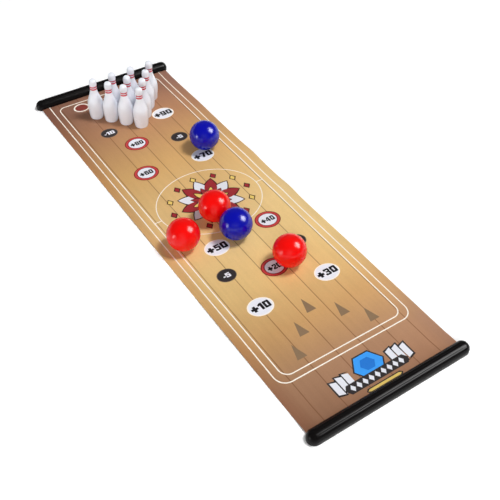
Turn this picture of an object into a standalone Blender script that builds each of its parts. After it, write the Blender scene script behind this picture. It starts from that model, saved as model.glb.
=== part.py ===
# Tabletop bowling game: a printed roll-out lane held between two clamping bars, ten pins and five balls.
# Metres, +Z up. The lane runs along +Y from the player's end, and its middle lies on the origin.
import math

import bmesh
import bpy

mm = 0.001

# Clearances
touch_gap = 0.3 * mm        # between pieces that touch
merge_gap = 0.01 * mm       # points nearer than this are one point
cut_overrun = 1.0 * mm      # how far a cutter passes through what it cuts

# Lane mat
mat_width = 280 * mm
mat_length = 900 * mm
mat_thickness = 1.0 * mm
mat_ramp = 30 * mm          # stretch over which each end climbs into its bar
mat_lead = 2 * mm           # flat stretch in front of each bar

# End bars: a half-round upper shell over a tray that runs under the mat
bar_width = 23.5 * mm
bar_side = 4.5 * mm         # upright sides below the half round
bar_overhang = 7.5 * mm     # past each edge of the mat
bar_grip = 10.4 * mm        # length of mat inside a bar
bar_wall = 1.6 * mm
tray_floor = 1.2 * mm
slot_undercut = 0.1 * mm    # the slot's floor lies this far below the tray's
tongue_thickness = 1.2 * mm
tongue_inset = 0.2 * mm     # from the bar's outer face
bar_spin_steps = 10
bar_arc_steps = 5

# Screws that close the bars from below
screws_per_bar = 4
screw_inset = 20 * mm       # from a bar's end to its first screw
screw_radius = 1.2 * mm
screw_length = 8 * mm
head_radius = 2.1 * mm
head_height = 1.4 * mm
head_sink = 0.3 * mm        # below the tray's underside
boss_wall = 0.8 * mm
pilot_spare = 1.2 * mm      # pilot hole beyond the screw's tip
pad_clearance = 0.6 * mm    # from the mat's end to a screw pad
round_steps = 12

# Pins: outline from foot to crown as shares of the height and of the belly's radius
pin_count_rows = 4
pin_height = 85 * mm
pin_radius = 15 * mm
pin_wall = 1.8 * mm
pin_steps = 16
pin_outline_shares = [
    (0.0, 0.82), (0.02, 0.86), (0.14, 0.93), (0.25, 0.98), (0.35, 1.0), (0.44, 0.94), (0.53, 0.765),
    (0.62, 0.585), (0.71, 0.465), (0.79, 0.43), (0.87, 0.485), (0.94, 0.45), (0.985, 0.26), (1.0, 0.0),
]
pin_cavity_shares = [0.30, 0.44, 0.58, 0.68]
cavity_top_share = 0.72
plug_height = 6 * mm
plug_post_height = 9 * mm
plug_post_radius = 4.5 * mm

# Rack: four rows that widen away from the player
rack_side_gap = 10.4 * mm   # between bellies in one row
rack_row_gap = 1.6 * mm     # between a belly and its neighbour in the next row
rack_back_inset = 84 * mm   # from the mat's far end to the back row
rack_shift = 4.5 * mm       # the rack stands a little to the right

# Balls: two half shells with a lap joint
ball_radius = 28 * mm
ball_wall = 2.5 * mm
ball_lip = 1.6 * mm         # height of the lap above the middle
ball_gap = 0.8 * mm         # between the two balls that lie close together
ball_steps = 18
ball_outer_arc_steps = 5
ball_inner_arc_steps = 3
ball_place_shares = {
    "red_ball_1": (-0.350, -0.0508),
    "red_ball_2": (-0.065, -0.0152),
    "red_ball_3": (0.0943, -0.1882),
    "blue_ball_1": (0.255, 0.1842),
}
close_pair_angle = math.radians(-83.4)   # from red_ball_2 towards blue_ball_2

# Sizes that follow from the ones above
bar_radius = bar_width / 2
bar_inner_radius = bar_radius - bar_wall
bar_straight = mat_width + 2 * bar_overhang - bar_width
mat_end_gap = bar_radius - bar_grip
bar_centre = mat_length / 2 + mat_end_gap
mat_end_bottom = tray_floor + touch_gap
mat_end_top = mat_end_bottom + mat_thickness
tray_top = bar_side - touch_gap
bore_radius = screw_radius + touch_gap
boss_radius = bore_radius + boss_wall
counterbore_radius = head_radius + touch_gap
pad_radius = counterbore_radius + boss_wall
screw_y = pad_clearance + pad_radius - mat_end_gap
seat_height = head_sink + head_height + touch_gap
pad_top = tray_top - touch_gap
boss_bottom = pad_top + touch_gap
boss_reach = math.sqrt(bar_radius ** 2 - (screw_y + boss_radius) ** 2)
boss_top = bar_side + boss_reach - tongue_inset
screw_top = head_sink + head_height + screw_length
rack_pitch = 2 * pin_radius + rack_side_gap
rack_row_step = math.sqrt((2 * pin_radius + rack_row_gap) ** 2 - (rack_pitch / 2) ** 2)
lane_top = mat_thickness + touch_gap


def clear_scene():
    for old in list(bpy.data.objects):
        bpy.data.objects.remove(old, do_unlink=True)


def new_collection(name):
    collection = bpy.data.collections.new(name)
    bpy.context.scene.collection.children.link(collection)
    return collection


def new_material(name, color, roughness, metallic=0.0):
    material = bpy.data.materials.new(name)
    material.use_nodes = True
    shader = material.node_tree.nodes["Principled BSDF"]
    shader.inputs["Base Color"].default_value = (*color, 1.0)
    shader.inputs["Roughness"].default_value = roughness
    shader.inputs["Metallic"].default_value = metallic
    return material


def place(obj, collection, parent=None, location=(0, 0, 0)):
    collection.objects.link(obj)
    obj.parent = parent
    obj.location = location
    return obj


def new_object(name, mesh, material, parent=None, location=(0, 0, 0)):
    obj = place(bpy.data.objects.new(name, mesh), parts, parent, location)
    mesh.materials.clear()
    mesh.materials.append(material)
    return obj


def new_empty(name, location, turn=0.0):
    empty = place(bpy.data.objects.new(name, None), parts, None, location)
    empty.rotation_euler = (0, 0, turn)
    return empty


def new_cutter(name, mesh, parent):
    cutter = place(bpy.data.objects.new(name, mesh), cutters, parent)
    cutter.hide_render = True
    cutter.display_type = "WIRE"
    return cutter


def mesh_from(name, fill):
    mesh = bpy.data.meshes.new(name)
    shape = bmesh.new()
    fill(shape)
    shape.to_mesh(mesh)
    shape.free()
    return mesh


def add_cylinder(shape, x, y, bottom, top, radius):
    made = bmesh.ops.create_cone(
        shape, cap_ends=True, segments=round_steps, radius1=radius, radius2=radius, depth=top - bottom)
    bmesh.ops.translate(shape, verts=made["verts"], vec=(x, y, (bottom + top) / 2))


def add_box(shape, low, high):
    made = bmesh.ops.create_cube(shape, size=1.0)
    size = [end - start for start, end in zip(low, high)]
    middle = [(start + end) / 2 for start, end in zip(low, high)]
    bmesh.ops.scale(shape, verts=made["verts"], vec=size)
    bmesh.ops.translate(shape, verts=made["verts"], vec=middle)


def profile_mesh(name, points):
    def fill(shape):
        line = [shape.verts.new(point) for point in points]
        for start, end in zip(line, line[1:]):
            shape.edges.new((start, end))
    return mesh_from(name, fill)


def add_screw(obj, steps, axis="Z", angle=2 * math.pi):
    screw = obj.modifiers.new("turn", "SCREW")
    screw.axis = axis
    screw.angle = angle
    screw.steps = steps
    screw.render_steps = steps
    screw.use_merge_vertices = True
    screw.merge_threshold = merge_gap
    screw.use_smooth_shade = True


def add_boolean(obj, cutter, operation):
    boolean = obj.modifiers.new(cutter.name, "BOOLEAN")
    boolean.object = cutter
    boolean.operation = operation
    boolean.solver = "EXACT"


def turned(name, points, steps, material, parent):
    mesh = profile_mesh(name, [(radius, 0, height) for radius, height in points])
    obj = new_object(name, mesh, material, parent)
    add_screw(obj, steps)
    return obj


def arc(radius, start, end, steps, centre=(0, 0)):
    angles = [math.radians(start + (end - start) * step / steps) for step in range(steps + 1)]
    return [(centre[0] + radius * math.cos(a), centre[1] + radius * math.sin(a)) for a in angles]


def stadium_mesh(name, radius, bottom, top):
    half = bar_straight / 2
    outline = arc(radius, -90, 90, 2 * bar_arc_steps, (half, 0))
    outline += arc(radius, 90, 270, 2 * bar_arc_steps, (-half, 0))
    curve = bpy.data.curves.new(name, "CURVE")
    curve.dimensions = "2D"
    curve.fill_mode = "BOTH"
    curve.extrude = (top - bottom) / 2
    spline = curve.splines.new("POLY")
    spline.points.add(len(outline) - 1)
    for point, (x, y) in zip(spline.points, outline):
        point.co = (x, y, 0, 1)
    spline.use_cyclic_u = True
    holder = place(bpy.data.objects.new(name, curve), cutters)
    mesh = bpy.data.meshes.new_from_object(holder.evaluated_get(bpy.context.evaluated_depsgraph_get()))
    bpy.data.objects.remove(holder)
    shape = bmesh.new()
    shape.from_mesh(mesh)
    bmesh.ops.remove_doubles(shape, verts=shape.verts, dist=merge_gap)
    bmesh.ops.translate(shape, verts=shape.verts, vec=(0, 0, (bottom + top) / 2))
    bmesh.ops.recalc_face_normals(shape, faces=shape.faces)
    shape.to_mesh(mesh)
    shape.free()
    return mesh


def build_mat():
    half = mat_length / 2
    lead = bar_centre - bar_radius - mat_lead
    middle_height = mat_thickness / 2
    end_height = mat_end_bottom + mat_thickness / 2
    side = [(half, end_height), (lead, end_height), (lead - mat_ramp, middle_height)]
    line = [(-y, z) for y, z in side] + [(y, z) for y, z in reversed(side)]

    def fill(shape):
        verts = [shape.verts.new((-mat_width / 2, y, z)) for y, z in line]
        edges = [shape.edges.new(pair) for pair in zip(verts, verts[1:])]
        swept = bmesh.ops.extrude_edge_only(shape, edges=edges)
        moved = [part for part in swept["geom"] if isinstance(part, bmesh.types.BMVert)]
        bmesh.ops.translate(shape, verts=moved, vec=(mat_width, 0, 0))
        bmesh.ops.recalc_face_normals(shape, faces=shape.faces)
    mat = new_object("play_mat", mesh_from("play_mat", fill), materials["printed_mat"])
    solid = mat.modifiers.new("thickness", "SOLIDIFY")
    solid.thickness = mat_thickness
    solid.offset = 0
    solid.use_even_offset = True


def screw_places():
    first = bar_straight / 2 + bar_radius - screw_inset
    return [-first + 2 * first * index / (screws_per_bar - 1) for index in range(screws_per_bar)]


def build_upper_shell(bar, empty):
    ends = arc(bar_radius, 0, 90, bar_arc_steps, (bar_straight / 2, 0))
    ends += arc(bar_radius, 90, 180, bar_arc_steps, (-bar_straight / 2, 0))
    mesh = profile_mesh(f"{bar}_upper_shell", [(x, y, 0) for x, y in ends])
    shell = new_object(f"{bar}_upper_shell", mesh, materials["bar_black"], empty, (0, 0, bar_side))
    add_screw(shell, bar_spin_steps, "X", math.pi)
    solid = shell.modifiers.new("wall", "SOLIDIFY")
    solid.thickness = bar_wall
    solid.offset = -1
    solid.use_even_offset = True

    def fill_inside(shape):
        face = -bar_radius + tongue_inset
        add_box(shape, (-mat_width / 2, face, mat_end_top + touch_gap),
                (mat_width / 2, face + tongue_thickness, bar_side + tongue_inset + touch_gap))
        for x in screw_places():
            add_cylinder(shape, x, screw_y, boss_bottom, boss_top, boss_radius)

    def fill_pilots(shape):
        for x in screw_places():
            add_cylinder(shape, x, screw_y, boss_bottom - cut_overrun, screw_top + pilot_spare, bore_radius)
    inside = new_cutter(f"{bar}_bosses", mesh_from(f"{bar}_bosses", fill_inside), empty)
    pilots = new_cutter(f"{bar}_pilots", mesh_from(f"{bar}_pilots", fill_pilots), empty)
    add_boolean(shell, inside, "UNION")
    add_boolean(shell, pilots, "DIFFERENCE")


def build_lower_shell(bar, empty):
    name = f"{bar}_lower_shell"
    tray = new_object(name, stadium_mesh(name, bar_radius, 0, tray_top), materials["bar_black"], empty)
    hollow = new_cutter(
        f"{bar}_hollow", stadium_mesh(f"{bar}_hollow", bar_inner_radius, tray_floor, tray_top + cut_overrun), empty)

    def fill_slot(shape):
        slot_half = mat_width / 2 + touch_gap
        add_box(shape, (-slot_half, -bar_radius - cut_overrun, tray_floor - slot_undercut),
                (slot_half, -bar_inner_radius / 2, tray_top + cut_overrun))

    def fill_pads(shape):
        for x in screw_places():
            add_cylinder(shape, x, screw_y, tray_floor / 2, pad_top, pad_radius)

    def fill_bores(shape):
        for x in screw_places():
            add_cylinder(shape, x, screw_y, -cut_overrun, seat_height, counterbore_radius)

    def fill_shanks(shape):
        for x in screw_places():
            add_cylinder(shape, x, screw_y, -cut_overrun, pad_top + cut_overrun, bore_radius)
    add_boolean(tray, hollow, "DIFFERENCE")
    for label, fill, operation in (
            ("slot", fill_slot, "DIFFERENCE"), ("pads", fill_pads, "UNION"),
            ("counterbores", fill_bores, "DIFFERENCE"), ("shank_holes", fill_shanks, "DIFFERENCE")):
        cutter = new_cutter(f"{bar}_{label}", mesh_from(f"{bar}_{label}", fill), empty)
        add_boolean(tray, cutter, operation)


def build_screws(bar, empty):
    head_top = head_sink + head_height
    outline = [(0, screw_top), (screw_radius, screw_top), (screw_radius, head_top),
               (head_radius, head_top), (head_radius, head_sink), (0, head_sink)]
    for index, x in enumerate(screw_places(), start=1):
        screw = turned(f"{bar}_screw_{index}", outline, round_steps, materials["screw_steel"], empty)
        screw.location = (x, screw_y, 0)


def build_bar(bar, centre, turn):
    empty = new_empty(bar, (0, centre, 0), turn)
    build_upper_shell(bar, empty)
    build_lower_shell(bar, empty)
    build_screws(bar, empty)


def pin_radius_at(share):
    for (low, low_radius), (high, high_radius) in zip(pin_outline_shares, pin_outline_shares[1:]):
        if low <= share <= high:
            return pin_radius * (low_radius + (high_radius - low_radius) * (share - low) / (high - low))
    return 0.0


def pin_body_outline():
    socket_radius = pin_radius * pin_outline_shares[0][1] - pin_wall
    outer = [(radius * pin_radius, height * pin_height) for height, radius in reversed(pin_outline_shares)]
    socket = [(socket_radius, 0), (socket_radius, plug_height + touch_gap)]
    cavity = [(pin_radius_at(share) - pin_wall, share * pin_height) for share in pin_cavity_shares]
    return outer + socket + cavity + [(0, cavity_top_share * pin_height)]


def plug_outline():
    plug_radius = pin_radius * pin_outline_shares[0][1] - pin_wall - touch_gap
    return [(0, plug_height + plug_post_height), (plug_post_radius, plug_height + plug_post_height),
            (plug_post_radius, plug_height), (plug_radius, plug_height), (plug_radius, 0), (0, 0)]


def rack_spots():
    back_row = mat_length / 2 - rack_back_inset
    for row in range(pin_count_rows):
        y = back_row - (pin_count_rows - 1 - row) * rack_row_step
        for column in range(row + 1):
            yield rack_shift + (column - row / 2) * rack_pitch, y


def build_pins():
    for number, (x, y) in enumerate(rack_spots(), start=1):
        empty = new_empty(f"pin_{number}", (x, y, lane_top))
        turned(f"pin_{number}_body", pin_body_outline(), pin_steps, materials["pin_white"], empty)
        turned(f"pin_{number}_base_plug", plug_outline(), pin_steps, materials["plug_white"], empty)


def ball_upper_outline():
    inner_radius = ball_radius - ball_wall
    rim = math.degrees(math.asin(touch_gap / 2 / ball_radius))
    ledge = ball_lip + touch_gap
    ledge_angle = math.degrees(math.asin(ledge / inner_radius))
    lap_radius = ball_radius - ball_wall / 2
    outer = arc(ball_radius, 90, rim, ball_outer_arc_steps)
    inner = arc(inner_radius, ledge_angle, 90, ball_inner_arc_steps)
    return outer + [(lap_radius, touch_gap / 2), (lap_radius, ledge)] + inner


def ball_lower_outline():
    inner_radius = ball_radius - ball_wall
    rim = math.degrees(math.asin(touch_gap / 2 / ball_radius))
    lip_radius = ball_radius - ball_wall / 2 - touch_gap
    inner = arc(inner_radius, -90, 0, ball_inner_arc_steps)
    outer = arc(ball_radius, -rim, -90, ball_outer_arc_steps)
    return inner + [(inner_radius, ball_lip), (lip_radius, ball_lip), (lip_radius, -touch_gap / 2)] + outer


def ball_places():
    places = {name: (x * mat_width, y * mat_length) for name, (x, y) in ball_place_shares.items()}
    x, y = places["red_ball_2"]
    apart = 2 * ball_radius + ball_gap
    places["blue_ball_2"] = (x + apart * math.cos(close_pair_angle), y + apart * math.sin(close_pair_angle))
    return places


def build_balls():
    for name, (x, y) in ball_places().items():
        material = materials[name[:name.index("_")] + "_ball"]
        empty = new_empty(name, (x, y, lane_top + ball_radius))
        turned(f"{name}_upper_shell", ball_upper_outline(), ball_steps, material, empty)
        turned(f"{name}_lower_shell", ball_lower_outline(), ball_steps, material, empty)


clear_scene()
parts = new_collection("tabletop_bowling_game")
cutters = new_collection("cutters")
materials = {
    "printed_mat": new_material("printed_mat", (0.50, 0.24, 0.10), 0.45),
    "bar_black": new_material("bar_black", (0.010, 0.010, 0.011), 0.18),
    "screw_steel": new_material("screw_steel", (0.55, 0.55, 0.56), 0.35, 1.0),
    "pin_white": new_material("pin_white", (0.82, 0.82, 0.86), 0.20),
    "plug_white": new_material("plug_white", (0.70, 0.70, 0.72), 0.45),
    "red_ball": new_material("red_ball", (0.62, 0.010, 0.016), 0.12),
    "blue_ball": new_material("blue_ball", (0.020, 0.085, 0.48), 0.12),
}
build_mat()
build_bar("far_bar", bar_centre, 0.0)
build_bar("near_bar", -bar_centre, math.pi)
build_pins()
build_balls()
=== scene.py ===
import math

import bmesh
import bpy
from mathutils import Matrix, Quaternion, Vector


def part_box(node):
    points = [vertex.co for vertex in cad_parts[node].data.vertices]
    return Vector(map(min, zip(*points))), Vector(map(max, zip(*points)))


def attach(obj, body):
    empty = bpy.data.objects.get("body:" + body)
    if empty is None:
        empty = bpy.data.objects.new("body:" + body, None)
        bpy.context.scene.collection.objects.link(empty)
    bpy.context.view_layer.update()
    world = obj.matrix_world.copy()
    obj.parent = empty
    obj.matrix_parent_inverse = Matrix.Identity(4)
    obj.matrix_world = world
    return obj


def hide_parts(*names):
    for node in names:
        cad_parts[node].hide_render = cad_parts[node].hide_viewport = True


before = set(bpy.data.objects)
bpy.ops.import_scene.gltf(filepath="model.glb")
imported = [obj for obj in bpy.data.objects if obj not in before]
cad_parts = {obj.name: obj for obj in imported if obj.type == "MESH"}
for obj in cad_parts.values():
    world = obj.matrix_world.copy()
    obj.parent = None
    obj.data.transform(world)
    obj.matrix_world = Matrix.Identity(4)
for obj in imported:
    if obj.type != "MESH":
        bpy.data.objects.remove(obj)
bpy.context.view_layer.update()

scene = bpy.context.scene
scene.view_settings.view_transform = "Standard"
mm = 0.001
mergeReach = 1e-6   # points nearer than this are one point, in metres


def tone(red, green, blue):   # screen values from 0 to 255, as the linear colour that a shader takes
    def linear(level):
        share = level / 255
        return share / 12.92 if share <= 0.04045 else ((share + 0.055) / 1.055) ** 2.4
    return (linear(red), linear(green), linear(blue), 1.0)


def smoothStep(low, high, value):
    share = min(max((value - low) / (high - low), 0.0), 1.0)
    return share * share * (3 - 2 * share)


# Camera

cameraView = {
    "place": (-0.52699, -0.85084, 0.89975),
    "azimuth": -34.93, "elevation": 44.88, "roll": 1.61,   # degrees
    "focalPixels": 771.2, "imagePixels": 500, "sensor": 36.0,
}


def makeCamera():
    data = bpy.data.cameras.new("viewCamera")
    data.sensor_width = cameraView["sensor"]
    data.lens = cameraView["focalPixels"] / cameraView["imagePixels"] * cameraView["sensor"]
    data.clip_start = 0.01
    camera = bpy.data.objects.new("viewCamera", data)
    scene.collection.objects.link(camera)
    azimuth, elevation = math.radians(cameraView["azimuth"]), math.radians(cameraView["elevation"])
    back = Vector((math.sin(azimuth) * math.cos(elevation), -math.cos(azimuth) * math.cos(elevation),
                   math.sin(elevation)))
    camera.rotation_mode = "QUATERNION"
    roll = Quaternion(back, math.radians(cameraView["roll"]))
    camera.rotation_quaternion = roll @ back.to_track_quat("Z", "Y")
    camera.location = cameraView["place"]
    scene.camera = camera


# Nodes shared by all materials

def addNode(tree, kind, *, to=None, **settings):
    node = tree.nodes.new(kind)
    for name, value in settings.items():
        setattr(node, name, value)
    for socket, source in (to or {}).items():
        if isinstance(source, bpy.types.NodeSocket):
            tree.links.new(source, node.inputs[socket])
        else:
            node.inputs[socket].default_value = source
    return node


def math1(tree, operation, first, second=0.5, third=0.5):
    return addNode(tree, "ShaderNodeMath", operation=operation, to={0: first, 1: second, 2: third}).outputs[0]


def mixTone(tree, share, first, second, blend="MIX"):
    mix = addNode(tree, "ShaderNodeMix", data_type="RGBA", blend_type=blend,
                  to={0: share, 6: first, 7: second})
    return mix.outputs[2]


def band(tree, value, low, high, start=0.0, end=1.0):
    ramp = addNode(tree, "ShaderNodeMapRange", interpolation_type="SMOOTHSTEP",
                   to={0: value, 1: low, 2: high, 3: start, 4: end})
    return ramp.outputs[0]


def newGroup(name, inputs, outputs):
    tree = bpy.data.node_groups.new(name, "ShaderNodeTree")
    for label, kind, value in inputs:
        socket = tree.interface.new_socket(label, in_out="INPUT", socket_type=kind)
        socket.default_value = value
    for label, kind in outputs:
        tree.interface.new_socket(label, in_out="OUTPUT", socket_type=kind)
    return tree, addNode(tree, "NodeGroupInput").outputs, addNode(tree, "NodeGroupOutput")


moulding = {"blotchDetail": 3.0, "peelDetail": 2.0, "shade": (0.55, 0.55, 0.55, 1), "shadeReach": 4.0}


def mouldedGroup():   # moulded plastic: slow drift of colour and gloss, fine orange peel
    tree, given, result = newGroup("mouldedSurface", [
        ("Color", "NodeSocketColor", (0.8, 0.8, 0.8, 1)), ("Drift", "NodeSocketFloat", 0.06),
        ("Roughness", "NodeSocketFloat", 0.3), ("Gloss Drift", "NodeSocketFloat", 0.06),
        ("Blotch Scale", "NodeSocketFloat", 35.0), ("Peel Scale", "NodeSocketFloat", 500.0)],
        [("Color", "NodeSocketColor"), ("Roughness", "NodeSocketFloat"), ("Height", "NodeSocketFloat")])
    spot = addNode(tree, "ShaderNodeTexCoord").outputs["Object"]
    blotch = addNode(tree, "ShaderNodeTexNoise", to={
        "Vector": spot, "Scale": given["Blotch Scale"], "Detail": moulding["blotchDetail"]})
    peel = addNode(tree, "ShaderNodeTexNoise", to={
        "Vector": spot, "Scale": given["Peel Scale"], "Detail": moulding["peelDetail"]})
    swing = math1(tree, "SUBTRACT", blotch.outputs[0], 0.5)
    darker = mixTone(tree, 1.0, given["Color"], moulding["shade"], "MULTIPLY")
    reach = math1(tree, "MULTIPLY", given["Drift"], moulding["shadeReach"])
    share = math1(tree, "MULTIPLY", math1(tree, "ABSOLUTE", swing), reach)
    tree.links.new(mixTone(tree, share, given["Color"], darker), result.inputs["Color"])
    wander = math1(tree, "MULTIPLY", swing, given["Gloss Drift"])
    tree.links.new(math1(tree, "ADD", given["Roughness"], wander), result.inputs["Roughness"])
    tree.links.new(peel.outputs[0], result.inputs["Height"])
    return tree


film = {
    "speckleScale": 420.0, "cloudScale": 28.0, "pebbleScale": 900.0,
    "cloudShare": 0.6,   # of the clouds, next to the speckle
    "glossDrift": 0.16,
}


def filmGroup():   # printed film of the mat: speckle in the print, faint pebbled surface
    tree, given, result = newGroup("printedFilm", [
        ("Color", "NodeSocketColor", (0.8, 0.8, 0.8, 1)), ("Speckle", "NodeSocketFloat", 0.1),
        ("Roughness", "NodeSocketFloat", 0.45)],
        [("Color", "NodeSocketColor"), ("Roughness", "NodeSocketFloat"), ("Height", "NodeSocketFloat")])
    spot = addNode(tree, "ShaderNodeTexCoord").outputs["Object"]
    speckle = addNode(tree, "ShaderNodeTexNoise", to={
        "Vector": spot, "Scale": film["speckleScale"], "Detail": 4.0, "Roughness": 0.7})
    cloud = addNode(tree, "ShaderNodeTexNoise", to={
        "Vector": spot, "Scale": film["cloudScale"], "Detail": 3.0})
    pebble = addNode(tree, "ShaderNodeTexVoronoi", to={"Vector": spot, "Scale": film["pebbleScale"]})
    drift = math1(tree, "SUBTRACT", cloud.outputs[0], 0.5)
    swing = math1(tree, "ADD", math1(tree, "SUBTRACT", speckle.outputs[0], 0.5),
                  math1(tree, "MULTIPLY", drift, film["cloudShare"]))
    scale = math1(tree, "ADD", math1(tree, "MULTIPLY", swing, given["Speckle"]), 1.0)
    bright = addNode(tree, "ShaderNodeVectorMath", operation="SCALE", to={0: given["Color"], "Scale": scale})
    tree.links.new(bright.outputs[0], result.inputs["Color"])
    wander = math1(tree, "MULTIPLY", drift, film["glossDrift"])
    tree.links.new(math1(tree, "ADD", given["Roughness"], wander), result.inputs["Roughness"])
    tree.links.new(pebble.outputs["Distance"], result.inputs["Height"])
    return tree


bumpStrength = 0.3


def finishWith(material, group, sockets, bumpReach):
    tree = material.node_tree
    shader = tree.nodes["Principled BSDF"]
    surface = addNode(tree, "ShaderNodeGroup", node_tree=group, to=sockets)
    tree.links.new(surface.outputs["Color"], shader.inputs["Base Color"])
    tree.links.new(surface.outputs["Roughness"], shader.inputs["Roughness"])
    bump = addNode(tree, "ShaderNodeBump", to={
        "Strength": bumpStrength, "Distance": bumpReach, "Height": surface.outputs["Height"]})
    tree.links.new(bump.outputs[0], shader.inputs["Normal"])
    return material


def newMaterial(name, **plain):
    material = bpy.data.materials.new(name)
    material.use_nodes = True
    for label, value in plain.items():
        material.node_tree.nodes["Principled BSDF"].inputs[label.replace("_", " ")].default_value = value
    return material


def moulded(name, color, roughness, drift=0.06, peelReach=0.00004, **plain):
    return finishWith(newMaterial(name, **plain), groups["moulded"], {
        "Color": color, "Roughness": roughness, "Drift": drift}, peelReach)


inkFinish = {"specular": 0.22, "roughness": 0.42, "pebbleReach": 0.00003}


def ink(name, color, speckle=0.06):
    material = newMaterial(name, Specular_IOR_Level=inkFinish["specular"])
    return finishWith(material, groups["film"], {
        "Color": color, "Roughness": inkFinish["roughness"], "Speckle": speckle}, inkFinish["pebbleReach"])


# Floor and lamps

studio = {
    # the floor takes shadows up to the first reach, and is plain white beyond the second
    "floorSize": 120.0, "litReach": (1.3, 2.6),
    "floorTone": (0.80, 0.80, 0.80, 1), "floorSeen": (1.15, 1.15, 1.15, 1),
    "skyStrength": 0.13, "hazeReach": (0.06, 0.14),   # white haze over the horizon, as shares of the way up
    "lampDistance": 8.0,
    # direction from the origin, size and power of each lamp,
    # whether it lights things, and whether they mirror it
    "lamps": {
        "keyLamp": ((0.39, -0.19, 0.90), 1.9, 432.0, True, False),
        "glintLamp": ((0.62, -0.37, 0.70), 4.0, 880.0, False, True),
        "rearLamp": ((0.45, 0.75, 0.48), 6.0, 66.0, True, False),
        "sideLamp": ((-0.985, 0.08, 0.14), 2.2, 124.0, True, True),
        "fillLamp": ((-0.52, -0.74, 0.42), 6.0, 290.0, True, False),
    },
}


def makeLamp(name, start, size, power, lights, mirrored):
    data = bpy.data.lights.new(name, "AREA")
    data.shape = "SQUARE"
    data.size = size
    data.energy = power
    lamp = bpy.data.objects.new(name, data)
    scene.collection.objects.link(lamp)
    lamp.location = Vector(start).normalized() * studio["lampDistance"]
    lamp.rotation_mode = "QUATERNION"
    lamp.rotation_quaternion = Vector(start).to_track_quat("Z", "Y")
    lamp.visible_diffuse = lights
    lamp.visible_glossy = mirrored


def seenShare(tree):   # 1 where a ray from the camera, a mirror or a lens meets the surface
    path = addNode(tree, "ShaderNodeLightPath").outputs
    mirrored = math1(tree, "MAXIMUM", path["Is Glossy Ray"], path["Is Transmission Ray"])
    return math1(tree, "MAXIMUM", path["Is Camera Ray"], mirrored)


def makeStudio():
    half = studio["floorSize"] / 2
    mesh = bpy.data.meshes.new("studioFloor")
    corners = [(-half, -half, 0), (half, -half, 0), (half, half, 0), (-half, half, 0)]
    mesh.from_pydata(corners, [], [(0, 1, 2, 3)])
    floor = bpy.data.objects.new("studioFloor", mesh)
    scene.collection.objects.link(floor)
    material = newMaterial("floorPaper", Roughness=0.9, Specular_IOR_Level=0.0)
    tree = material.node_tree
    shader = tree.nodes["Principled BSDF"]
    seen = seenShare(tree)
    away = addNode(tree, "ShaderNodeVectorMath", operation="LENGTH", to={
        0: addNode(tree, "ShaderNodeTexCoord").outputs["Object"]}).outputs["Value"]
    plain = math1(tree, "MULTIPLY", seen, band(tree, away, *studio["litReach"]))
    black, white = (0, 0, 0, 1), (1, 1, 1, 1)
    paper = mixTone(tree, seen, studio["floorTone"], studio["floorSeen"])
    tree.links.new(mixTone(tree, plain, paper, black), shader.inputs["Base Color"])
    tree.links.new(mixTone(tree, plain, black, white), shader.inputs["Emission Color"])
    shader.inputs["Emission Strength"].default_value = 1.0
    mesh.materials.append(material)
    world = bpy.data.worlds.new("paleRoom")
    world.use_nodes = True
    tree = world.node_tree
    direction = addNode(tree, "ShaderNodeTexCoord").outputs["Generated"]
    height = addNode(tree, "ShaderNodeSeparateXYZ", to={0: direction}).outputs[2]
    haze = math1(tree, "MULTIPLY", seenShare(tree), band(tree, height, *studio["hazeReach"], 1.0, 0.0))
    dim = (studio["skyStrength"],) * 3 + (1,)
    tree.links.new(mixTone(tree, haze, dim, white), tree.nodes["Background"].inputs["Color"])
    tree.nodes["Background"].inputs["Strength"].default_value = 1.0
    scene.world = world
    for name, lamp in studio["lamps"].items():
        makeLamp(name, *lamp)


# Mesh helpers

def newPiece(name, mesh, *materials):
    mesh.materials.clear()
    for material in materials:
        mesh.materials.append(material)
    piece = bpy.data.objects.new(name, mesh)
    scene.collection.objects.link(piece)
    return piece


def tidyMesh(mesh, sharpAngle=35):
    shape = bmesh.new()
    shape.from_mesh(mesh)
    bmesh.ops.remove_doubles(shape, verts=shape.verts, dist=mergeReach)
    bmesh.ops.recalc_face_normals(shape, faces=shape.faces)
    shape.to_mesh(mesh)
    shape.free()
    mesh.shade_smooth()
    mesh.set_sharp_from_angle(angle=math.radians(sharpAngle))
    return mesh


def joinMeshes(name, meshes):
    shape = bmesh.new()
    for mesh in meshes:
        shape.from_mesh(mesh)
    joined = bpy.data.meshes.new(name)
    shape.to_mesh(joined)
    shape.free()
    return joined


def movedMesh(mesh, offset):
    copy = mesh.copy()
    for vertex in copy.vertices:
        vertex.co += Vector(offset)
    return copy


def bakedMesh(name, holder):
    evaluated = holder.evaluated_get(bpy.context.evaluated_depsgraph_get())
    mesh = bpy.data.meshes.new_from_object(evaluated)
    mesh.name = name
    bpy.data.objects.remove(holder)
    return mesh


# Geometry Nodes

def newTree(name, inputs):
    tree = bpy.data.node_groups.new(name, "GeometryNodeTree")
    tree.interface.new_socket("Geometry", in_out="INPUT", socket_type="NodeSocketGeometry")
    for label, kind in inputs:
        tree.interface.new_socket(label, in_out="INPUT", socket_type=kind)
    tree.interface.new_socket("Geometry", in_out="OUTPUT", socket_type="NodeSocketGeometry")
    return tree, addNode(tree, "NodeGroupInput").outputs, addNode(tree, "NodeGroupOutput")


def runTree(name, tree, mesh, values):
    holder = bpy.data.objects.new(name, mesh)
    scene.collection.objects.link(holder)
    modifier = holder.modifiers.new(tree.name, "NODES")
    modifier.node_group = tree
    for item in tree.interface.items_tree:
        if item.name in values:
            modifier[item.identifier] = values[item.name]
    return bakedMesh(name, holder)


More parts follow.
